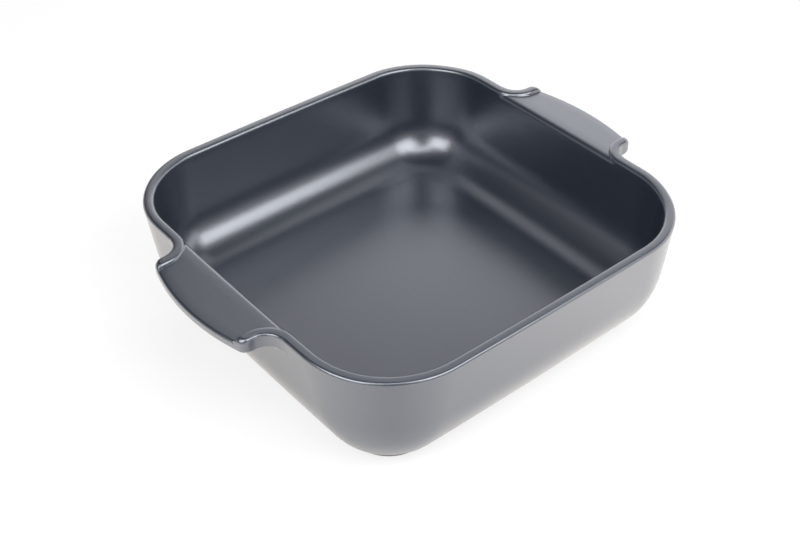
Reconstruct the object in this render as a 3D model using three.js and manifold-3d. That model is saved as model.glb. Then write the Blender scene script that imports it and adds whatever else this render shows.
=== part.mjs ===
// A square stoneware baking dish: a basin with rounded corners, two lug handles and a low foot ring.
// Millimetres, +Z up. The origin is on the table under the middle of the dish, and +X runs from the
// left handle to the right one.
import * as THREE from 'three';
import { mergeVertices } from 'three/addons/utils/BufferGeometryUtils.js';
import Module from 'manifold-3d';

const wasm = await Module();
wasm.setup();

// Rim and wall
const SIDE = 279.2; // outside width of the rim, where its corners begin
const SIDE_BOW = 1.6; // how far each side swells past that at its middle
const HEIGHT = 83.3; // from the table to the top of the rim, away from the handles
const CORNER_RADIUS = 60.5; // outside corner of the rim, seen from above
const CORNER_TIGHTENING = 0.1; // corner radius lost with each mm below the rim, besides the wall's lean
const SHARPEST_CORNER = 3; // no corner gets tighter than this
const RIM_WIDTH = 7.5; // the band round the top, as wide as the wall is thick there
const RIM_ROUNDING = 1.7; // its two edges
const OUTER_LEAN = 8; // degrees that the outside leans in towards the foot
const INNER_LEAN = 5.5; // degrees that the inside leans in towards the floor

// Heel, floor and foot
const HEEL_REACH = 21; // how far the outside would turn in under the dish
const HEEL_RISE = 41.4; // the height over which it turns
const HEEL_TURN = 74.5; // degrees of that turn, up to the foot
const FLOOR_THICKNESS = 7;
const COVE_RADIUS = 33; // inside, from the wall to the floor
const FOOT_HEIGHT = 3.5;
const FOOT_WIDTH = 9;
const FOOT_STEP = 0.3; // how far the foot stands in from the end of the heel
const FOOT_ROUNDING = 1.2;

// Handles
const HANDLE_LIFT = 1.2; // how far the rim has risen by the time it reaches a handle
const LIFT_END = 118; // from the middle of the handle to where the rim is level again
const LIFT_RUN = 40; // the stretch of rim over which it rises
const RIB_ROOT = 60.5; // from the middle of the handle to where the rim starts to turn out
const RIB_TURN = 12; // radius in which the rim's outer edge turns out into a rib
const RIB_END_RADIUS = 5; // rounded outer end of a rib
const HANDLE_REACH = 25.5; // from the side of the dish to the middle of the handle's outer edge
const HANDLE_EDGE_RADIUS = 165; // that edge is an arc
const LUG_THICKNESS = 9.1; // rib from top to bottom
const LUG_ROUNDING = 1.8;
const TAB_RECESS = 3; // the thumb rest's outer edge lies this far below the ribs
const TAB_FALL = 1.5; // and the rest falls this far on its way out to that edge
const TAB_EDGE_RADIUS = 4.5; // its rounded edge over the inside of the dish
const ROOT_FILLET = 7; // under the lug, against the wall
const SEAT_MARGIN = 1.5; // the handle's seat in the wall runs this far past the ribs
const SEAT_DEPTH = 17; // and this far below their tops
const JOINT_GAP = 0.3; // slip joint round the handle's seat

// Facets
const CORNER_STEPS = 10;
const SIDE_STEPS = 8;
const ROUNDING_STEPS = 3;
const CURVE_STEPS = 7;
const ARC_SEGMENTS = 5;

const CLEAR = 10; // how far a cutting tool stands clear of what it cuts
const HALF_SIDE = SIDE / 2;

const tanOf = (degrees) => Math.tan(THREE.MathUtils.degToRad(degrees));
const cosOf = (degrees) => Math.cos(THREE.MathUtils.degToRad(degrees));
const sinOf = (degrees) => Math.sin(THREE.MathUtils.degToRad(degrees));

// Plan of the dish

// x of the outline on the +X side, at a given inset from the rim's outside and a given y
function sideAt(inset, y) {
  const half = HALF_SIDE - inset;
  return half + SIDE_BOW * (1 - (y / half) ** 2);
}

// One turn of points round the dish at height z, counter-clockwise from above
function outline(inset, z) {
  const half = HALF_SIDE - inset;
  const wanted = CORNER_RADIUS - inset - CORNER_TIGHTENING * (HEIGHT - z);
  const radius = Math.max(wanted, SHARPEST_CORNER);
  const middle = half - radius;
  const points = [];
  for (let corner = 0; corner < 4; corner += 1) {
    const quarter = corner * Math.PI / 2;
    for (let step = 0; step <= CORNER_STEPS; step += 1) {
      const angle = step / CORNER_STEPS * Math.PI / 2;
      points.push(new THREE.Vector2(middle + radius * Math.cos(angle), middle + radius * Math.sin(angle))
        .rotateAround(new THREE.Vector2(), quarter));
    }
    for (let step = 1; step < SIDE_STEPS; step += 1) {
      const along = middle * (1 - 2 * step / SIDE_STEPS);
      points.push(new THREE.Vector2(along, half).rotateAround(new THREE.Vector2(), quarter));
    }
  }
  return points.map(({ x, y }) => bowed(x, y, half));
}

// The four sides swell a little, most at their middles
function bowed(x, y, half) {
  const swell = (along, across) => SIDE_BOW * Math.abs(along / half) ** 4 * (1 - (across / half) ** 2);
  return new THREE.Vector2(x + Math.sign(x) * swell(x, y), y + Math.sign(y) * swell(y, x));
}

// The rise of the rim towards the handles

// The wall above the heel is stretched upwards to carry the rim
const heelTop = FOOT_HEIGHT + HEEL_RISE * sinOf(HEEL_TURN);
const wallHeight = HEIGHT - heelTop;

// Where a point of the level dish ends up
function lifted(x, y, z) {
  const share = 1 - THREE.MathUtils.smoothstep(Math.abs(y), LIFT_END - LIFT_RUN, LIFT_END);
  const rise = Math.max(0, z - heelTop) / wallHeight;
  return [x, y, z + HANDLE_LIFT * share * rise];
}

// The level dish's height for a point of the wall that ends up at z beside a handle
function level(z) {
  return heelTop + (z - heelTop) * wallHeight / (wallHeight + HANDLE_LIFT);
}

// Surfaces that run round the dish

// Joins the rings of a profile, given as [inset, z] from the outside of the rim.
// An open profile gets a flat cap at each end, and a closed one joins its last ring to its first.
function loft(profile, closed) {
  const rings = profile.map(([inset, z]) => outline(inset, z).map(({ x, y }) => lifted(x, y, z)));
  const count = rings[0].length;
  const vertices = rings.flat(2);
  const faces = [];
  const at = (ring, step) => (ring % rings.length) * count + step % count;
  const spans = closed ? rings.length : rings.length - 1;
  for (let ring = 0; ring < spans; ring += 1) {
    for (let step = 0; step < count; step += 1) {
      faces.push(at(ring, step), at(ring, step + 1), at(ring + 1, step + 1));
      faces.push(at(ring, step), at(ring + 1, step + 1), at(ring + 1, step));
    }
  }
  if (!closed) {
    const last = rings.length - 1;
    const bottom = vertices.push(0, 0, profile[0][1]) / 3 - 1;
    const top = vertices.push(0, 0, profile[last][1]) / 3 - 1;
    for (let step = 0; step < count; step += 1) {
      faces.push(bottom, at(0, step + 1), at(0, step));
      faces.push(top, at(last, step), at(last, step + 1));
    }
  }
  const geometry = new THREE.BufferGeometry();
  geometry.setAttribute('position', new THREE.Float32BufferAttribute(vertices, 3));
  geometry.setIndex(faces);
  return geometry;
}

// Points of an arc in a profile, with its angles in degrees; a negative radius faces the other way
function arc(centreInset, centreZ, radiusIn, radiusUp, from, to, steps) {
  return Array.from({ length: steps + 1 }, (_, step) => {
    const angle = THREE.MathUtils.degToRad(from + (to - from) * step / steps);
    return [centreInset + radiusIn * Math.cos(angle), centreZ + radiusUp * Math.sin(angle)];
  });
}

// A rounded edge in a profile, a quarter of a circle
function edge(centreInset, centreZ, radiusIn, radiusUp, from, to) {
  return arc(centreInset, centreZ, radiusIn, radiusUp, from, to, ROUNDING_STEPS);
}

const outerInset = (z) => (HEIGHT - z) * tanOf(OUTER_LEAN);
const innerInset = (z) => RIM_WIDTH + (HEIGHT - z) * tanOf(INNER_LEAN);

// The outside, from the foot up to the rim
function outerProfile() {
  const heel = arc(HEEL_REACH, heelTop, -HEEL_REACH, -HEEL_RISE, HEEL_TURN, 0, CURVE_STEPS);
  return heel.map(([inset, z]) => [inset + outerInset(z), z]);
}

// The rim, over its outer and inner edges
function rimProfile() {
  const round = RIM_ROUNDING;
  const low = HEIGHT - round;
  const outerEdge = edge(outerInset(low) + round, low, -round, round, 0, 90);
  const innerEdge = edge(innerInset(low) - round, low, round, round, 90, 0);
  return [...outerEdge, ...innerEdge];
}

// The inside, from the wall down through the cove to the floor
function innerProfile() {
  const centreZ = FOOT_HEIGHT + FLOOR_THICKNESS + COVE_RADIUS;
  const centreInset = innerInset(centreZ) + COVE_RADIUS / cosOf(INNER_LEAN);
  return arc(centreInset, centreZ, -COVE_RADIUS, -COVE_RADIUS, INNER_LEAN, 90, CURVE_STEPS);
}

const wholeDish = loft([...outerProfile(), ...rimProfile(), ...innerProfile()], false);

// Cutting and joining

function solidOf(geometry) {
  const bare = geometry.clone();
  bare.deleteAttribute('normal');
  bare.deleteAttribute('uv');
  const merged = mergeVertices(bare);
  const vertProperties = Float32Array.from(merged.attributes.position.array);
  const triVerts = Uint32Array.from(merged.index.array);
  return new wasm.Manifold(new wasm.Mesh({ numProp: 3, vertProperties, triVerts }));
}

function geometryOf(solid) {
  const { vertProperties, triVerts } = solid.getMesh();
  const geometry = new THREE.BufferGeometry();
  geometry.setAttribute('position', new THREE.BufferAttribute(vertProperties, 3));
  geometry.setIndex(new THREE.BufferAttribute(triVerts, 1));
  geometry.computeVertexNormals();
  return geometry;
}

// A plan shape raised from one height to another, with its edges rounded if asked
function raise(shape, low, high, rounding = 0) {
  const geometry = new THREE.ExtrudeGeometry(shape, {
    depth: high - low - 2 * rounding,
    curveSegments: ARC_SEGMENTS,
    bevelEnabled: rounding > 0,
    bevelThickness: rounding,
    bevelSize: rounding,
    bevelOffset: -rounding,
    bevelSegments: ROUNDING_STEPS,
  });
  return solidOf(geometry.translate(0, 0, low + rounding));
}

// A shape in X and Z, drawn out along Y to both sides of the middle
function drawAlongY(shape, halfLength) {
  const geometry = new THREE.ExtrudeGeometry(shape, {
    depth: 2 * halfLength,
    curveSegments: ARC_SEGMENTS,
    bevelEnabled: false,
  });
  return solidOf(geometry.rotateX(Math.PI / 2).translate(0, halfLength, 0));
}

// The +X handle

const rimX = sideAt(0, RIB_ROOT);
const turnX = rimX + RIB_TURN;
const ribOuterY = RIB_ROOT - RIB_TURN;
const ribInnerRadius = RIB_TURN + RIM_WIDTH;
const ribInnerY = RIB_ROOT - ribInnerRadius;
const reachX = sideAt(0, 0) + HANDLE_REACH;
const handleTop = HEIGHT + HANDLE_LIFT;
const lugBottom = handleTop - LUG_THICKNESS;
const tabLow = handleTop - TAB_RECESS;
const tabHigh = tabLow + TAB_FALL;

// The lug from above: the rim's outer edge turns out on both sides and ends on the outer arc
function lugPlan() {
  const backX = rimX - RIM_WIDTH / 2;
  const arcX = reachX - HANDLE_EDGE_RADIUS;
  const endY = ribOuterY - RIB_END_RADIUS;
  const endX = arcX + Math.sqrt((HANDLE_EDGE_RADIUS - RIB_END_RADIUS) ** 2 - endY ** 2);
  const endAngle = Math.atan2(endY, endX - arcX);
  const shape = new THREE.Shape();
  shape.moveTo(backX, -RIB_ROOT);
  shape.lineTo(rimX, -RIB_ROOT);
  shape.absarc(turnX, -RIB_ROOT, RIB_TURN, Math.PI, Math.PI / 2, true);
  shape.absarc(endX, -endY, RIB_END_RADIUS, -Math.PI / 2, -endAngle, false);
  shape.absarc(arcX, 0, HANDLE_EDGE_RADIUS, -endAngle, endAngle, false);
  shape.absarc(endX, endY, RIB_END_RADIUS, endAngle, Math.PI / 2, false);
  shape.absarc(turnX, RIB_ROOT, RIB_TURN, -Math.PI / 2, -Math.PI, true);
  shape.lineTo(backX, RIB_ROOT);
  return shape;
}

// The thumb rest from above, between the inner edges of the two ribs and open at both ends
function tabPlan() {
  const inX = turnX - ribInnerRadius - CLEAR;
  const outX = reachX + CLEAR;
  const shape = new THREE.Shape();
  shape.moveTo(inX, -RIB_ROOT);
  shape.lineTo(turnX - ribInnerRadius, -RIB_ROOT);
  shape.absarc(turnX, -RIB_ROOT, ribInnerRadius, Math.PI, Math.PI / 2, true);
  shape.lineTo(outX, -ribInnerY);
  shape.lineTo(outX, ribInnerY);
  shape.absarc(turnX, RIB_ROOT, ribInnerRadius, -Math.PI / 2, -Math.PI, true);
  shape.lineTo(inX, RIB_ROOT);
  return shape;
}

// What is cut away above the thumb rest, down to its slope
function tabSpace() {
  const slope = TAB_FALL / (reachX - (turnX - ribInnerRadius));
  return raise(tabPlan(), tabLow, handleTop + CLEAR).warp((point) => {
    point[2] += (reachX - point[0]) * slope;
  });
}

// What rounds the thumb rest's edge over the inside of the dish
function tabEdgeSection() {
  const low = tabHigh - TAB_EDGE_RADIUS;
  const wallX = sideAt(innerInset(level(low)), 0);
  const flatX = wallX + TAB_EDGE_RADIUS;
  const shape = new THREE.Shape();
  shape.moveTo(wallX - CLEAR, low);
  shape.lineTo(wallX, low);
  shape.absarc(flatX, low, TAB_EDGE_RADIUS, Math.PI, Math.PI / 2, true);
  shape.lineTo(flatX, handleTop);
  shape.lineTo(wallX - CLEAR, handleTop);
  return shape;
}

// The hollow fillet under the lug
function rootSection() {
  const low = lugBottom - ROOT_FILLET;
  const wallX = sideAt(outerInset(level(low)), ribOuterY);
  const shape = new THREE.Shape();
  shape.moveTo(wallX - RIM_WIDTH / 2, low);
  shape.lineTo(wallX, low);
  shape.absarc(wallX + ROOT_FILLET, low, ROOT_FILLET, Math.PI, Math.PI / 2, true);
  shape.lineTo(wallX + ROOT_FILLET, tabLow);
  shape.lineTo(wallX - RIM_WIDTH / 2, tabLow);
  return shape;
}

// The notch in the wall that a handle sits in, with a gap all round it if asked
function seat(gap) {
  const halfWidth = RIB_ROOT + SEAT_MARGIN + gap;
  const low = handleTop - SEAT_DEPTH - gap;
  const high = handleTop + CLEAR;
  const inX = sideAt(innerInset(low), 0) - CLEAR;
  const outX = reachX + CLEAR;
  const box = new THREE.BoxGeometry(outX - inX, 2 * halfWidth, high - low);
  return solidOf(box.translate((inX + outX) / 2, 0, (low + high) / 2));
}

function handle() {
  const wallPiece = solidOf(wholeDish).intersect(seat(0));
  const lug = raise(lugPlan(), lugBottom, handleTop, LUG_ROUNDING);
  const root = drawAlongY(rootSection(), ribOuterY - LUG_ROUNDING);
  const tabEdge = drawAlongY(tabEdgeSection(), RIB_ROOT);
  const tabColumn = raise(tabPlan(), lugBottom - CLEAR, handleTop + CLEAR);
  return wallPiece.add(lug).add(root).subtract(tabSpace()).subtract(tabEdge.intersect(tabColumn));
}

// The basin, with a seat for a handle on both sides
function basin() {
  const rightSeat = seat(JOINT_GAP);
  return solidOf(wholeDish).subtract(rightSeat).subtract(rightSeat.rotate([0, 0, 180]));
}

// The ring that the dish stands on, just inside the end of the heel
function footRing() {
  const [heelInset] = outerProfile()[0];
  const outer = heelInset + FOOT_STEP;
  const inner = outer + FOOT_WIDTH;
  const round = FOOT_ROUNDING;
  const outerEdge = edge(outer + round, round, -round, -round, 90, 0);
  const innerEdge = edge(inner - round, round, round, -round, 0, 90);
  return loft([...outerEdge, [outer, FOOT_HEIGHT], [inner, FOOT_HEIGHT], ...innerEdge], true);
}

// The assembly

const slateGlaze = { color: 0x5f656e, roughness: 0.4, metalness: 0 };
const bareStoneware = { color: 0x8f8b86, roughness: 0.85, metalness: 0 };

function piece(name, geometry, finish) {
  const mesh = new THREE.Mesh(geometry, new THREE.MeshStandardMaterial(finish));
  mesh.name = name;
  return mesh;
}

const dish = new THREE.Group();
const handleGeometry = geometryOf(handle());
const leftHandle = piece('left_handle', handleGeometry, slateGlaze);
leftHandle.rotation.z = Math.PI;
dish.add(piece('basin', geometryOf(basin()), slateGlaze));
dish.add(leftHandle);
dish.add(piece('right_handle', handleGeometry, slateGlaze));
dish.add(piece('foot_ring', footRing(), bareStoneware));

export default dish;
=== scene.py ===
# %% [markdown]
# # A square oven dish, dressed on its frame
# The imported frame holds a stoneware oven dish as four solids: a basin, two lug handles and a foot ring.
# They have their true size and place, so they are loaded first and each visible piece is drawn over them.
# The box round the frame is kept here.

# %% Load the frame
import math

import bmesh
import bpy
from mathutils import Matrix, Vector


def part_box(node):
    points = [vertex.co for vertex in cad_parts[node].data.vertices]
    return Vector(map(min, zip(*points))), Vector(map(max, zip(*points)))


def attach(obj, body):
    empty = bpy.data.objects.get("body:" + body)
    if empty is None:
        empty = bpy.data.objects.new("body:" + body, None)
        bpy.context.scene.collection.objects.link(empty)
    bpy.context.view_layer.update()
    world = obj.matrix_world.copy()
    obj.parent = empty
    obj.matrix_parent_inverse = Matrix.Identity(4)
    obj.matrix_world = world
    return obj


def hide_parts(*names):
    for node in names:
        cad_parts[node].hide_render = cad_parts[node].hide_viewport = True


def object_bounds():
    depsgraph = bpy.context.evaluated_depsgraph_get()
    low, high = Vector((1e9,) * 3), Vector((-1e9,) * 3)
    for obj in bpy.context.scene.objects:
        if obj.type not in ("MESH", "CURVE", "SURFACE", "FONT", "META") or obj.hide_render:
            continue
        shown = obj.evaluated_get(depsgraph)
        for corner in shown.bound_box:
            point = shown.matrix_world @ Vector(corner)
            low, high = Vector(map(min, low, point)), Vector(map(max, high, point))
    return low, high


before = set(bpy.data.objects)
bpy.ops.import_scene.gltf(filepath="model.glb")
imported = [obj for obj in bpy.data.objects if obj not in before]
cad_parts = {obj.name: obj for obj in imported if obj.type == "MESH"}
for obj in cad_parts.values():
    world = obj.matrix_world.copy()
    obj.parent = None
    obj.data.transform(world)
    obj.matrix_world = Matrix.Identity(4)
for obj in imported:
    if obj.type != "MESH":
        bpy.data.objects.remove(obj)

cad_box = [list(corner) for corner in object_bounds()]
print("nodes:", sorted(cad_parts))
print("box of the frame in metres:", cad_box)

# %% [markdown]
# ## The sizes that drive the shape
# Much the same section runs all round the dish, so a few sizes settle it. The outer ones are read from the
# frame, and the skin stays a hair inside it. The others are the rules that the walls follow: how far they
# lean, how the corners tighten towards the foot, how wide and how round the rim is, and how far it rises
# towards the handles.

# %% Sizes in millimetres
MM = 0.001
INSIDE_FRAME = 0.01
SIDE_BOW = 1.6
CORNER_RADIUS = 60.5
CORNER_TIGHTENING = 0.1
SHARPEST_CORNER = 3.0
OUTER_LEAN = math.radians(8.0)
INNER_LEAN = math.radians(5.5)
RIM_WIDTH = 7.5
RIM_CROWN = 0.35
RIM_ROUNDING = 1.7
INNER_ROUNDING = 2.2
HANDLE_LIFT = 1.2
LIFT_END = 118.0
LIFT_RUN = 40.0
HEIGHT = cad_box[1][2] / MM - HANDLE_LIFT - INSIDE_FRAME
REACH = cad_box[1][0] / MM - INSIDE_FRAME
HALF_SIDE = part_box("basin")[1][1] / MM - SIDE_BOW + RIM_ROUNDING * math.tan(OUTER_LEAN)
MIDDLE = HALF_SIDE - CORNER_RADIUS
print("half side", round(HALF_SIDE, 2), "height", round(HEIGHT, 2), "reach", round(REACH, 2))

# %% [markdown]
# ## Columns round the dish
# The skin of the dish is one sheet. It is drawn as columns that climb the outside, pass over the rim
# and run down the inside, like the staves of a barrel. A column knows its place on the wall: on a handle
# side, in a corner or on a plain side. The same place on a smaller rounded square gives the next ring.

# %% Places on a rounded square
def wall_point(place, inset, z):
    side, along = place
    half = HALF_SIDE - inset
    radius = max(SHARPEST_CORNER, CORNER_RADIUS - inset - CORNER_TIGHTENING * (HEIGHT - z))
    middle = half - radius
    if side == "handle":
        x, y = half, along * middle / MIDDLE
    elif side == "corner":
        x, y = middle + radius * math.cos(along), middle + radius * math.sin(along)
    else:
        x, y = along * middle / MIDDLE, half
    bow_x = SIDE_BOW * (x / half) ** 4 * (1 - (y / half) ** 2)
    bow_y = SIDE_BOW * (y / half) ** 4 * (1 - (x / half) ** 2)
    return Vector((x + bow_x, y + bow_y, z))

print("wall at the middle of a handle side:", wall_point(("handle", 0), 0, HEIGHT))

# %% [markdown]
# ## The outline of a handle
# Seen from above, the rim splits at each handle. Its band turns outwards in a quarter circle and runs
# on as a rib with a rounded end, and between the two ribs lies a tab whose outer edge is a shallow arc.
# Each column of the handle gets its point on that outline and the direction that leads into the clay.
# The columns stand closest where the tab steps up to the rib.

# %% Half of a handle's outline
RIB_ROOT = 60.5
RIB_TURN = 12.0
RIB_END_RADIUS = 5.0
EDGE_RADIUS = 165.0
TAB_MIDDLE = 38.0
STEP_BAND = 0.45, 0.75
TAB_COLUMNS = 13, 5, 24, 12
RIB_COLUMNS = 8, 4, 18
rim_x = wall_point(("handle", RIB_ROOT), 0, HEIGHT).x
turn_x = rim_x + RIB_TURN
rib_outer_y = RIB_ROOT - RIB_TURN
rib_inner_radius = RIB_TURN + RIM_WIDTH
rib_inner_y = RIB_ROOT - rib_inner_radius
edge_x = REACH - EDGE_RADIUS
end_y = rib_outer_y - RIB_END_RADIUS
end_x = edge_x + math.sqrt((EDGE_RADIUS - RIB_END_RADIUS) ** 2 - end_y ** 2)
end_angle = math.atan2(end_y, end_x - edge_x)
arc_end_y = EDGE_RADIUS * math.sin(end_angle)
tab_stops = [0, TAB_MIDDLE, rib_inner_y - STEP_BAND[0], rib_inner_y + STEP_BAND[1], arc_end_y]

def steps(start, stop, count):
    return [start + (stop - start) * i / count for i in range(count)]

def round_point(centre_x, centre_y, radius, angle, inside):
    way = Vector((math.cos(angle), math.sin(angle)))
    return Vector((centre_x, centre_y)) + radius * way, -way if inside else way

outline = []
for start, stop, count in zip(tab_stops, tab_stops[1:], TAB_COLUMNS):
    for y in steps(start, stop, count):
        outline.append(round_point(edge_x, 0, EDGE_RADIUS, math.asin(y / EDGE_RADIUS), True))
tab_count = len(outline)
for angle in steps(end_angle, math.pi / 2, RIB_COLUMNS[0]):
    outline.append(round_point(end_x, end_y, RIB_END_RADIUS, angle, True))
for x in steps(end_x, turn_x, RIB_COLUMNS[1]):
    outline.append((Vector((x, rib_outer_y)), Vector((0, -1))))
for angle in steps(-math.pi / 2, -math.pi, RIB_COLUMNS[2]):
    outline.append(round_point(turn_x, RIB_ROOT, RIB_TURN, angle, False))
print("columns in half a handle:", len(outline), "of which on the tab:", tab_count)

# %% [markdown]
# ## A quarter of the columns
# The dish mirrors in both of its upright planes, so a quarter of the columns is enough. Where the outline
# doubles back round the rib, the columns share out the stretch of wall behind it by length, which keeps
# them from crossing. Past the handle a column has no outline of its own: the wall is its outline.

# %% Columns of a quarter
SIDE_COLUMNS, CORNER_COLUMNS, PLAIN_COLUMNS = 8, 26, 12
rib_outline = outline[tab_count:]
rib_path = [point for point, _ in rib_outline] + [Vector((rim_x, RIB_ROOT))]
walked = [0.0]
for start, stop in zip(rib_path, rib_path[1:]):
    walked.append(walked[-1] + (stop - start).length)

quarter = [(("handle", point.y), point, way) for point, way in outline[:tab_count]]
for (point, way), length in zip(rib_outline, walked):
    y = arc_end_y + (RIB_ROOT - arc_end_y) * length / walked[-1]
    quarter.append((("handle", y), point, way))
quarter += [(("handle", y), None, None) for y in steps(RIB_ROOT, MIDDLE, SIDE_COLUMNS)]
quarter += [(("corner", angle), None, None) for angle in steps(0, math.pi / 2, CORNER_COLUMNS)]
quarter += [(("plain", x), None, None) for x in steps(MIDDLE, 0, PLAIN_COLUMNS) + [0.0]]
print("columns in a quarter:", len(quarter))

# %% [markdown]
# ## Heights on top of a handle
# The tab lies lower than the ribs, and it falls a little more on its way out, so that a thumb finds it. The
# ribs carry on the rounded inner edge of the rim and droop slightly towards their ends, and the step down to
# the tab ends in a small fillet, because glaze fills an inner corner. So there are two heights, one for the
# band of rim and rib and one for the tab, and the higher of the two wins, with a soft passage.

# %% Height of the top
TAB_RECESS = 3.3
TAB_FALL = 1.8
TAB_INNER_ROUNDING = 3.2
INNER_ROLL = 0.6
INNER_ROLL_WIDTH = 10.0
TAB_ROLL = 0.4
ROLL_WIDTH = 8.0
STEP_SLOPE = math.radians(79)
STEP_TURN = 12.0
STEP_FILLET = 0.1
STEP_ROUNDING = 2.3
RIB_DROOP = 0.3
DROOP_START = 1.0
DROOP_RUN = 9.0

def smooth(t):
    t = min(max(t, 0.0), 1.0)
    return t * t * (3 - 2 * t)

def crown(across):
    return RIM_CROWN * (2 * min(max(across, 0.0), 1.0) - 1) ** 2

def fall(distance, radius):
    short = radius - min(max(distance, 0.0), radius)
    return radius - math.sqrt(radius ** 2 - short ** 2)

def band_height(depth, slope, radius):
    bend = radius * (1 - math.sin(slope))
    straight = max(0.0, bend - depth) * math.tan(slope)
    return HEIGHT - crown(depth / RIM_WIDTH) - fall(max(depth, bend), radius) - straight

def tab_height(x, from_wall, from_edge):
    climb = TAB_FALL * (REACH - x) / (REACH - rim_x + RIM_WIDTH)
    roll = TAB_ROLL * max(0.0, 1 - from_edge / ROLL_WIDTH) ** 2
    inner_roll = INNER_ROLL * max(0.0, 1 - from_wall / INNER_ROLL_WIDTH) ** 2
    return HEIGHT - TAB_RECESS + climb - roll - inner_roll - fall(from_wall, TAB_INNER_ROUNDING)

def top_height(point, from_wall, from_edge):
    if point.x < turn_x:
        depth = rib_inner_radius - math.hypot(point.x - turn_x, point.y - RIB_ROOT)
    else:
        depth = point.y - rib_inner_y
    upright = math.pi / 2 - INNER_LEAN
    turned = smooth((RIB_ROOT - point.y) / STEP_TURN)
    slope = upright + (STEP_SLOPE - upright) * turned
    radius = INNER_ROUNDING + (STEP_ROUNDING - INNER_ROUNDING) * turned
    droop = RIB_DROOP * smooth((point.x - turn_x - DROOP_START) / DROOP_RUN)
    band = band_height(depth, slope, radius) - droop
    tab = tab_height(point.x, from_wall, from_edge)
    share = min(max(0.5 + (band - tab) / (2 * STEP_FILLET), 0.0), 1.0)
    return tab + (band - tab) * share + STEP_FILLET * share * (1 - share)

print("tab at its middle:", round(top_height(Vector((REACH - 15, 0)), 15, 15), 2))

# %% [markdown]
# ## Outside: foot, heel and wall
# The outside starts under the dish, where the flat underside meets the heel, the long curve by which the
# wall turns in to the foot. A quarter of an ellipse on top of the wall's own lean gives that curve, and
# so the wall runs on into it without a break.

# %% Outside of a column
FOOT_HEIGHT = 3.5
HEEL_REACH = 21.0
HEEL_RISE = 41.4
HEEL_TURN = math.radians(74.5)
LUG_ROOT = 18.0
SMALLEST_RING = 12.0
UNDER_RINGS, HEEL_RINGS, WALL_RINGS = 5, 14, 7
heel_top = FOOT_HEIGHT + HEEL_RISE * math.sin(HEEL_TURN)

def outer_inset(z):
    return (HEIGHT - z) * math.tan(OUTER_LEAN)

def outside(place):
    heel = []
    for turn in steps(HEEL_TURN, 0, HEEL_RINGS):
        z = heel_top - HEEL_RISE * math.sin(turn)
        heel.append((outer_inset(z) + HEEL_REACH * (1 - math.cos(turn)), z))
    deepest = heel[0][0]
    under = [(inset, FOOT_HEIGHT) for inset in steps(HALF_SIDE - SMALLEST_RING, deepest, UNDER_RINGS)]
    wall = [(outer_inset(z), z) for z in steps(heel_top, HEIGHT - LUG_ROOT, WALL_RINGS)]
    return [wall_point(place, inset, z) for inset, z in under + heel + wall]

print("points on the outside of a column:", len(outside(("handle", 0))))

# %% [markdown]
# ## Under and round a handle
# A lug carries the dish full of food, so it grows out of the wall through a fillet, and its own edge is
# rounded above and below. The upper round grows along the end of each rib. These points are the same in
# number on every column. Where there is no lug they lie on the wall, and round the turn of the rib they
# pass gently from the one to the other.

# %% From the wall to the outer edge
LUG_THICKNESS = 9.1
ROOT_FILLET = 7.0
ROOT_SHARE = 0.6
TAB_ROUNDING = 1.9
RIB_END_ROUNDING = 3.7
RIB_END_LEAD = 2.0
EDGE_PASSAGE = 3.0
PASSAGE_START = 0.85
LOWER_ROUNDING = 1.4
LOWER_SHARE = 0.3
LUG_FADE = 7.0
SHORTEST_LUG = 1e-6
LUG_RINGS = 3, 7, 8, 5, 3

def edge_rounding(point):
    outwards = smooth((point.x - end_x + RIB_END_LEAD) / (RIB_END_RADIUS + RIB_END_LEAD))
    rib = RIM_ROUNDING + (RIB_END_ROUNDING - RIM_ROUNDING) * outwards
    on_tab = smooth((rib_inner_y - point.y) / EDGE_PASSAGE + PASSAGE_START)
    return rib + (TAB_ROUNDING - rib) * on_tab

def under_lug(column):
    place, point, way = column
    bottom = HEIGHT - LUG_THICKNESS
    rim_start = HEIGHT - RIM_CROWN - RIM_ROUNDING * (1 + math.sin(OUTER_LEAN))
    climb = steps(HEIGHT - LUG_ROOT, rim_start, sum(LUG_RINGS))
    plain = [wall_point(place, outer_inset(z), z) for z in climb]
    if point is None:
        return plain
    rounding = edge_rounding(point)
    top = top_height(point + way * rounding, REACH, rounding) - rounding
    foot = wall_point(place, outer_inset(bottom), bottom).to_2d()
    length = max((point - foot).length, SHORTEST_LUG)
    out = (point - foot) / length
    fillet = min(ROOT_FILLET, ROOT_SHARE * length)
    lower = min(LOWER_ROUNDING, LOWER_SHARE * length)
    path = [(0.0, z) for z in steps(HEIGHT - LUG_ROOT, bottom - fillet, LUG_RINGS[0])]
    for turn in steps(0, math.pi / 2, LUG_RINGS[1]):
        path.append((fillet * (1 - math.cos(turn)), bottom - fillet * (1 - math.sin(turn))))
    path += [(far, bottom) for far in steps(fillet, length - lower, LUG_RINGS[2])]
    for turn in steps(math.pi / 2, 0, LUG_RINGS[3]):
        path.append((length - lower * (1 - math.cos(turn)), bottom + lower * (1 - math.sin(turn))))
    path += [(length, z) for z in steps(bottom + lower, top, LUG_RINGS[4])]
    lug = []
    for far, z in path:
        start = wall_point(place, outer_inset(z), z).to_2d() if z < bottom else foot
        lug.append((start + out * far).to_3d() + Vector((0, 0, z)))
    share = smooth(length / LUG_FADE)
    return [a.lerp(b, share) for a, b in zip(plain, lug)]

print("points from the wall to the outer edge:", len(under_lug(quarter[0])))

# %% [markdown]
# ## Over the top
# The rim is a narrow crowned band with both of its edges rounded, and the tab ends in a larger round where it
# falls into the dish. So the top of a column is an arc, a run and closer steps over the inner edge. The run
# asks for its height at every point, and that is what raises the ribs from the tab.

# %% Over the top of a column
EDGE_STEPS = 6
RUN_STEPS = 26
ROLL_STEPS = 12
ROLL_CHANGE = 10.0
LEAN_RUN = 12.0

def inner_inset(z):
    return RIM_WIDTH + (HEIGHT - z) * math.tan(INNER_LEAN)

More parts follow.
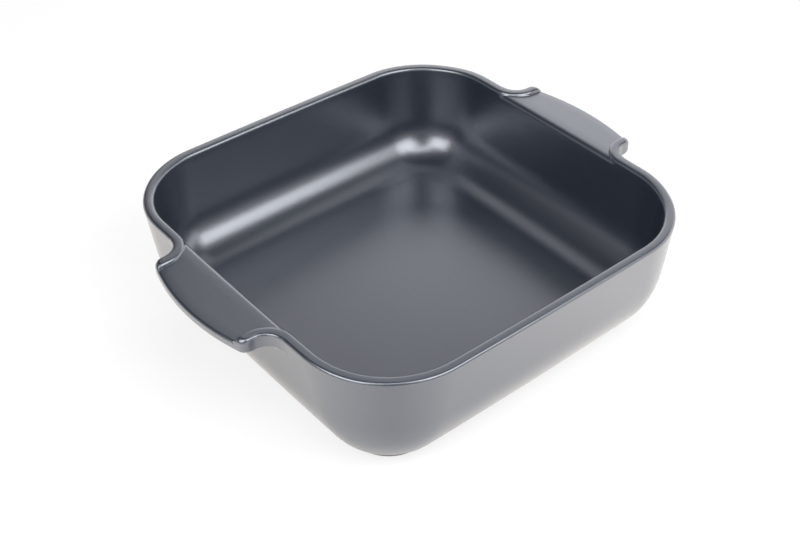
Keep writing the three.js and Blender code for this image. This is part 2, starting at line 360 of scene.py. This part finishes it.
def run_steps(width, roll):
    turns = steps(0, math.pi / 2, ROLL_STEPS) + [math.pi / 2]
    return steps(width, roll, RUN_STEPS) + [roll * (1 - math.sin(turn)) for turn in turns]

def plain_rim(place):
    low = HEIGHT - RIM_ROUNDING
    outer = outer_inset(low) + RIM_ROUNDING / math.cos(OUTER_LEAN)
    path = []
    for turn in steps(math.pi / 2 + OUTER_LEAN, 0, EDGE_STEPS):
        inset = outer - RIM_ROUNDING * math.sin(turn)
        path.append((inset, low + RIM_ROUNDING * math.cos(turn) - crown(inset / RIM_WIDTH)))
    for from_wall in run_steps(RIM_WIDTH - outer, INNER_ROUNDING):
        z = band_height(from_wall, math.pi / 2 - INNER_LEAN, INNER_ROUNDING)
        path.append((inner_inset(z) - from_wall, z))
    return [wall_point(place, inset, z) for inset, z in path]

def over_top(column):
    place, point, way = column
    if point is None:
        return plain_rim(place)
    rounding = edge_rounding(point)
    start = point + way * rounding
    wall = wall_point(place, RIM_WIDTH, HEIGHT).to_2d()
    width = start.x - wall.x
    low = top_height(start, width, rounding) - rounding
    points = []
    for turn in steps(math.pi / 2, 0, EDGE_STEPS):
        spot = point + way * rounding * (1 - math.sin(turn))
        points.append(spot.to_3d() + Vector((0, 0, low + rounding * math.cos(turn))))
    on_handle = smooth((RIB_ROOT - place[1]) / ROLL_CHANGE)
    roll = INNER_ROUNDING + (TAB_INNER_ROUNDING - INNER_ROUNDING) * on_handle
    for from_wall in run_steps(width, roll):
        spot = wall.lerp(start, from_wall / width)
        z = top_height(spot, from_wall, rounding + width - from_wall)
        lean = (HEIGHT - z) * math.tan(INNER_LEAN) * max(0.0, 1 - from_wall / LEAN_RUN)
        points.append(Vector((spot.x - lean, spot.y, z)))
    return points

print("points over the top of a column:", len(over_top(quarter[0])))

# %% [markdown]
# ## Down the inside
# Inside, the wall falls with a little less lean than outside, so it gets slightly thinner on its way down,
# and a wide cove carries it into the flat floor. Food doesn't stick in a cove, and in a picture the cove is
# what catches the long bright streak of a lamp, so it gets the closest rings. Last, the upper part of every
# column near a handle is raised a little.

# %% Inside of a column
FLOOR = 10.5
COVE_RADIUS = 33.0
INNER_RINGS, COVE_RINGS, FLOOR_RINGS = 8, 18, 6
cove_height = FLOOR + COVE_RADIUS
cove_inset = inner_inset(cove_height) + COVE_RADIUS / math.cos(INNER_LEAN)

def inside(place, start):
    cove = []
    for turn in steps(INNER_LEAN, math.pi / 2, COVE_RINGS):
        z = cove_height - COVE_RADIUS * math.sin(turn)
        cove.append((cove_inset - COVE_RADIUS * math.cos(turn), z))
    wall = [(inner_inset(z), z) for z in steps(start, cove[0][1], INNER_RINGS)]
    floor = [(inset, FLOOR) for inset in steps(cove_inset, HALF_SIDE - SMALLEST_RING, FLOOR_RINGS)]
    return [wall_point(place, inset, z) for inset, z in wall + cove + floor]

def lifted(point):
    near_handle = smooth((LIFT_END - point.y) / LIFT_RUN)
    share = near_handle * max(0.0, point.z - heel_top) / (HEIGHT - heel_top)
    return point + Vector((0, 0, HANDLE_LIFT * share))

def section(column):
    top = over_top(column)
    points = outside(column[0]) + under_lug(column) + top[:-1] + inside(column[0], top[-1].z)
    return [lifted(point) for point in points]

sections = [section(column) for column in quarter]
print("points in a column:", len(sections[0]))

# %% [markdown]
# ## Mirror the quarter
# The other three quarters are mirror images. The columns in the mirror planes belong to two quarters,
# so they are taken once, and the ring that comes out runs once round the dish.

# %% All the columns
def mirrored(columns, x, y):
    return [[Vector((p.x * x, p.y * y, p.z)) for p in column] for column in columns]

def all_round(part):
    half = part + mirrored(part[-2::-1], -1, 1)
    return half + mirrored(part[1:], -1, -1) + mirrored(part[-2:0:-1], 1, -1)

rings = list(zip(*all_round(sections)))
print("columns:", len(rings[0]), "rings:", len(rings))

# %% [markdown]
# ## Draw the skin ring by ring
# A circle primitive gives the first ring, with one vertex to a column. Extruding its edges gives the next
# ring, which is then laid out on its own outline, and so on over the whole section. A number on each
# vertex tells its column, and it is copied by every extrusion. The two small rings that stay open in the
# middle, under the dish and on its floor, are filled at the end.

# %% Extrude a sheet through rings
MERGE_DISTANCE = 1e-6

def lay(piece, ring):
    cage = bmesh.from_edit_mesh(piece.data)
    column = cage.verts.layers.int["column"]
    for vertex in cage.verts:
        if vertex.select:
            vertex.co = ring[vertex[column]] * MM
    bmesh.update_edit_mesh(piece.data)

def sheet(name, rings):
    bpy.ops.object.select_all(action="DESELECT")
    bpy.ops.mesh.primitive_circle_add(vertices=len(rings[0]), radius=HALF_SIDE * MM, enter_editmode=True)
    piece = bpy.context.object
    piece.name = piece.data.name = name
    cage = bmesh.from_edit_mesh(piece.data)
    column = cage.verts.layers.int.new("column")
    for index, vertex in enumerate(cage.verts):
        vertex[column] = index
    lay(piece, rings[0])
    for ring in rings[1:]:
        bpy.ops.mesh.extrude_region_move()
        lay(piece, ring)
    bpy.ops.mesh.select_all(action="DESELECT")
    bpy.ops.mesh.select_non_manifold()
    return piece

def close(piece):
    bpy.ops.mesh.select_all(action="SELECT")
    bpy.ops.mesh.remove_doubles(threshold=MERGE_DISTANCE)
    bpy.ops.mesh.normals_make_consistent(inside=False)
    bpy.ops.object.mode_set(mode="OBJECT")
    bpy.ops.object.shade_smooth()
    print(piece.name, "faces:", len(piece.data.polygons))

dish = sheet("glazed_dish", rings)
bpy.ops.mesh.fill_holes(sides=0)
close(dish)

# %% [markdown]
# ## The foot ring
# The dish stands on a low ring of bare clay, wiped clean of glaze so that it doesn't stick to the kiln shelf.
# It is drawn the same way as the skin, and its last ring is bridged to its first.

# %% Foot ring
FOOT_WIDTH = 9.0
FOOT_ROUNDING = 1.2
FOOT_OVERLAP = 0.2
FOOT_RINGS = 4
foot_inset = HALF_SIDE + SIDE_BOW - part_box("foot_ring")[1][1] / MM

def foot_section(place):
    path = [(foot_inset, FOOT_HEIGHT + FOOT_OVERLAP)]
    for turn in steps(0, math.pi / 2, FOOT_RINGS) + [math.pi / 2]:
        side = FOOT_ROUNDING * (1 - math.cos(turn))
        path.append((foot_inset + side, FOOT_ROUNDING * (1 - math.sin(turn))))
    far = 2 * foot_inset + FOOT_WIDTH
    path += [(far - inset, z) for inset, z in reversed(path)]
    return [wall_point(place, inset, z) for inset, z in path]

foot_quarter = [foot_section(column[0]) for column in quarter]
foot = sheet("foot_ring_clay", list(zip(*all_round(foot_quarter))))
bpy.ops.mesh.bridge_edge_loops()
close(foot)

# %% [markdown]
# ## Colours and nodes
# Colours are written as they look on a screen and turned into linear light in one place. One small
# function adds a node, sets its values and makes its links, and the others add the kinds of node that
# are needed more than once: a mix of two colours, a noise of a given size, a new range, and arithmetic.

# %% Helpers for materials
def paint(code):
    channels = [int(code[i:i + 2], 16) / 255 for i in (1, 3, 5)]
    return [c / 12.92 if c <= 0.04045 else ((c + 0.055) / 1.055) ** 2.4 for c in channels] + [1.0]

def add_node(tree, kind, values=None, **settings):
    node = tree.nodes.new(kind)
    for name, value in settings.items():
        setattr(node, name, value)
    for name, value in (values or {}).items():
        if isinstance(value, bpy.types.NodeSocket):
            tree.links.new(value, node.inputs[name])
        else:
            node.inputs[name].default_value = value
    return node

def new_material(name):
    material = bpy.data.materials.new(name)
    material.use_nodes = True
    material.node_tree.nodes.clear()
    return material, material.node_tree

def two_tones(tree, share, first, second):
    tint = add_node(tree, "ShaderNodeMix", {"Factor": share}, data_type="RGBA")
    tint.inputs["A"].default_value = paint(first)
    tint.inputs["B"].default_value = paint(second)
    return tint.outputs["Result"]

def noise(tree, place, size, detail):
    values = {"Vector": place, "Scale": 1 / (size * MM), "Detail": detail}
    return add_node(tree, "ShaderNodeTexNoise", values).outputs["Fac"]

def new_range(tree, value, low, high, start=0.0, stop=1.0):
    values = {"Value": value, "From Min": start, "From Max": stop, "To Min": low, "To Max": high}
    return add_node(tree, "ShaderNodeMapRange", values).outputs["Result"]

def reckon(tree, operation, *values):
    return add_node(tree, "ShaderNodeMath", dict(enumerate(values)), operation=operation).outputs[0]

def reckon_vector(tree, operation, *values):
    return add_node(tree, "ShaderNodeVectorMath", dict(enumerate(values)), operation=operation)

# %% [markdown]
# ## Satin slate glaze
# The glaze is a blue-grey satin. To the eye it is nearly even, with a faint cloudiness from the way it
# was sprayed, a fine grain of iron from the clay, and a skin that is not quite flat, so that the
# reflection of a lamp has a soft edge. It mirrors more than common glazes do, so its index is high.

# %% Satin slate glaze
CLOUD_SIZE = 55.0
IRON_SIZE = 0.9
IRON_SHADE = 0.9, 1.08
SKIN_SIZE = 3.5
SKIN_BUMP = 0.05
GLAZE_ROUGHNESS = 0.28, 0.32
GLAZE_INDEX = 2.35

def glaze_material():
    material, tree = new_material("satin slate glaze")
    place = add_node(tree, "ShaderNodeTexCoord").outputs["Object"]
    cloud = noise(tree, place, CLOUD_SIZE, 3.0)
    iron = noise(tree, place, IRON_SIZE, 2.0)
    skin = noise(tree, place, SKIN_SIZE, 2.0)
    tint = two_tones(tree, cloud, "#171e29", "#1c232e")
    shade = new_range(tree, iron, *IRON_SHADE)
    colour = add_node(tree, "ShaderNodeVectorMath", {0: tint, "Scale": shade}, operation="SCALE")
    bump = add_node(tree, "ShaderNodeBump", {"Height": skin, "Strength": SKIN_BUMP, "Distance": MM})
    shader = add_node(tree, "ShaderNodeBsdfPrincipled", {
        "Base Color": colour.outputs["Vector"],
        "Roughness": new_range(tree, cloud, *GLAZE_ROUGHNESS),
        "Normal": bump.outputs["Normal"],
        "IOR": GLAZE_INDEX,
        "Specular Tint": paint("#f3f7ff"),
    })
    add_node(tree, "ShaderNodeOutputMaterial", {"Surface": shader.outputs["BSDF"]})
    return material

glaze = glaze_material()
print("material:", glaze.name)

# %% [markdown]
# ## Bare stoneware
# Unglazed clay is dull and grainy. It is seen only as a thin line under the dish and from below.

# %% Bare stoneware
CLAY_GRAIN = 0.7
CLAY_RELIEF = 0.2
CLAY_BUMP = 0.3
CLAY_ROUGHNESS = 0.88

def clay_material():
    material, tree = new_material("bare stoneware")
    place = add_node(tree, "ShaderNodeTexCoord").outputs["Object"]
    grain = noise(tree, place, CLAY_GRAIN, 3.0)
    relief = {"Height": grain, "Strength": CLAY_BUMP, "Distance": CLAY_RELIEF * MM}
    shader = add_node(tree, "ShaderNodeBsdfPrincipled", {
        # Dark clay tones: partly the clay's own colour, partly painted shade for the thin line under the
        # dish.
        "Base Color": two_tones(tree, grain, "#423f3b", "#595550"),
        "Roughness": CLAY_ROUGHNESS,
        "Normal": add_node(tree, "ShaderNodeBump", relief).outputs["Normal"],
    })
    add_node(tree, "ShaderNodeOutputMaterial", {"Surface": shader.outputs["BSDF"]})
    return material

clay = clay_material()
print("material:", clay.name)

# %% [markdown]
# ## Hand the pieces to the frame
# The skin stands for the basin and both handles, which are fired together under one coat of glaze, and
# the ring stands for the foot. Both ride on the one body that the dish has.

# %% Place the pieces
dish.data.materials.append(glaze)
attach(dish, "root")
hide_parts("basin", "left_handle", "right_handle")
foot.data.materials.append(clay)
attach(foot, "root")
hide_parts("foot_ring")
print("pieces placed: 2")

# %% [markdown]
# ## A white sweep
# The dish stands on a white sweep. To the camera the floor is mostly its own white, and the rest is lit, so
# that a faint shadow stays round the dish. Further out it is all white. In what the glaze mirrors, the floor
# is lit, greyer than to the camera, and glows as well, more close to the foot and most to both sides of the
# dish. That glow is a painted reflection: it makes the walls paler towards their far ends and paints a pale
# edge on the heel. The fourth root of a sum of fourth powers measures from the middle in rounded squares,
# like the foot itself.

# %% Floor
FLOOR_SIZE = 6.0
SIDEWAYS = Vector((0.76, -0.65, 0.0))
# The glow that the glaze mirrors is a painted reflection; these sizes set where it shows and how strong it
# is.
SIDE_LIGHT = 180.0
SIDE_GLOW = 0.22, 0.95
FOOT_LIGHT = 121.0, 142.0
FOOT_GLOW = 0.6
OWN_WHITE = 0.75
ALL_WHITE = 450.0, 1000.0

def floor_material():
    material, tree = new_material("white sweep")
    path = add_node(tree, "ShaderNodeLightPath")
    to_camera, mirrored_light = path.outputs["Is Camera Ray"], path.outputs["Is Glossy Ray"]
    place = add_node(tree, "ShaderNodeTexCoord").outputs["Object"]
    aside = reckon_vector(tree, "DOT_PRODUCT", place, SIDEWAYS).outputs["Value"]
    side = new_range(tree, reckon(tree, "ABSOLUTE", aside), *SIDE_GLOW, stop=SIDE_LIGHT * MM)
    square = reckon_vector(tree, "MULTIPLY", place, place).outputs["Vector"]
    fourth = reckon_vector(tree, "DOT_PRODUCT", square, square).outputs["Value"]
    ring = reckon(tree, "POWER", fourth, 1 / 4)
    near = new_range(tree, ring, FOOT_GLOW, 0.0, *[size * MM for size in FOOT_LIGHT])
    level = reckon(tree, "MULTIPLY", reckon(tree, "ADD", side, near), mirrored_light)
    # The floor glows only in what the glaze mirrors, more near the foot and to the sides: a painted
    # reflection on the walls and heel.
    painted_reflection_glow = add_node(tree, "ShaderNodeEmission", {"Color": paint("#fff5ea"), "Strength": level})
    # Reflections see the floor greyer than the camera does, which paints the walls' reflections darker.
    tint = two_tones(tree, to_camera, "#e8e8e8", "#fafafa")
    lit = add_node(tree, "ShaderNodeBsdfDiffuse", {"Color": tint})
    bright = add_node(tree, "ShaderNodeAddShader", {0: lit.outputs[0], 1: painted_reflection_glow.outputs[0]})
    reach = reckon_vector(tree, "LENGTH", place).outputs["Value"]
    white = new_range(tree, reach, OWN_WHITE, 1.0, *[size * MM for size in ALL_WHITE])
    seen = reckon(tree, "MULTIPLY", to_camera, white)
    glow = add_node(tree, "ShaderNodeEmission", {"Color": paint("#ffffff"), "Strength": 1.0})
    shader = add_node(tree, "ShaderNodeMixShader", {0: seen, 1: bright.outputs[0], 2: glow.outputs[0]})
    add_node(tree, "ShaderNodeOutputMaterial", {"Surface": shader.outputs["Shader"]})
    return material

bpy.ops.object.select_all(action="DESELECT")
bpy.ops.mesh.primitive_plane_add(size=FLOOR_SIZE, location=(0, 0, 0))
floor = bpy.context.object
floor.name = "white_sweep"
floor.data.materials.append(floor_material())
print("floor:", floor.name)

# %% [markdown]
# ## Soft studio light
# A softbox stands to the right of the camera and another to the left, with a small one above them, and the
# three give the streak and the spots on the inside. Two broad and weaker ones behind the dish light the rim,
# the tabs and the floor of the dish, and one at the right fills the gap between front and back. The room is
# dark above and paler along the horizon, which keeps the rounded edges from turning black. Each softbox is
# given by azimuth and elevation in degrees, distance, width and height in metres, and brightness.

# %% Softboxes and room
LAMP_AIM = Vector((0, 0, 0.04))
SOFTBOXES = [
    ("right softbox", 14, 45, 1.3, 1.1, 0.64, 5.4),
    ("left softbox", -80, 42, 1.3, 0.86, 0.66, 5.7),
    ("middle softbox", -26, 66, 1.3, 0.95, 0.26, 5.2),
    ("back softbox", 129, 20, 1.6, 1.8, 1.25, 1.6),
    ("upper back softbox", 130, 57, 1.6, 1.8, 0.56, 0.85),
    ("side softbox", 66, 17, 1.6, 1.6, 0.8, 1.7),
]
ROOM_GLOW = 0.75, 0.07
HORIZON = 0.1, 0.5

def direction(azimuth, elevation):
    a, e = math.radians(azimuth), math.radians(elevation)
    return Vector((math.sin(a) * math.cos(e), -math.cos(a) * math.cos(e), math.sin(e)))

def softbox(name, azimuth, elevation, distance, width, height, brightness):
    back = direction(azimuth, elevation)
    bpy.ops.object.light_add(type="AREA", location=back * distance + LAMP_AIM)
    lamp = bpy.context.object
    lamp.name = lamp.data.name = name
    lamp.rotation_euler = back.to_track_quat("Z", "Y").to_euler()
    lamp.data.shape = "RECTANGLE"
    lamp.data.size, lamp.data.size_y = width, height
    lamp.data.energy = brightness * math.pi * width * height

def room_world():
    world = bpy.data.worlds.new("room")
    world.use_nodes = True
    tree = world.node_tree
    tree.nodes.clear()
    to_camera = add_node(tree, "ShaderNodeLightPath").outputs["Is Camera Ray"]
    way = add_node(tree, "ShaderNodeTexCoord").outputs["Generated"]
    height = add_node(tree, "ShaderNodeSeparateXYZ", {0: way}).outputs["Z"]
    level = new_range(tree, to_camera, new_range(tree, height, *ROOM_GLOW, *HORIZON), 1.0)
    room = add_node(tree, "ShaderNodeBackground", {"Color": paint("#ffffff"), "Strength": level})
    add_node(tree, "ShaderNodeOutputWorld", {"Surface": room.outputs["Background"]})
    return world

for settings in SOFTBOXES:
    softbox(*settings)
bpy.context.scene.world = room_world()
print("lamps:", len(SOFTBOXES))

# %% [markdown]
# ## The camera
# The camera looks down on the corner between a handle side and a plain side. Its place, its lens, its slight
# roll and its small shift were worked out from the outline of the dish in the photograph.

# %% Camera
CAMERA_AZIMUTH = -40.718
CAMERA_ELEVATION = 38.626
CAMERA_ROLL = 0.252
CAMERA_DISTANCE = 832.094
CAMERA_TARGET = Vector((11.025, -19.386, 41.28))
SENSOR_WIDTH = 36.0
LENS = 56.376
SHIFT = -0.04954, -0.01388
bpy.ops.object.camera_add()
camera = bpy.context.object
back = direction(CAMERA_AZIMUTH, CAMERA_ELEVATION)
right = direction(CAMERA_AZIMUTH + 90, 0)
roll = Matrix.Rotation(math.radians(CAMERA_ROLL), 3, back)
axes = [roll @ right, roll @ back.cross(right), back]
stand = (CAMERA_TARGET + back * CAMERA_DISTANCE) * MM
camera.matrix_world = Matrix.Translation(stand) @ Matrix(axes).transposed().to_4x4()
camera.data.sensor_width = SENSOR_WIDTH
camera.data.lens = LENS
camera.data.shift_x, camera.data.shift_y = SHIFT
camera.data.dof.use_dof = False
bpy.context.scene.camera = camera
bpy.context.scene.view_settings.view_transform = "Standard"
print("camera at", [round(v, 3) for v in camera.matrix_world.translation])
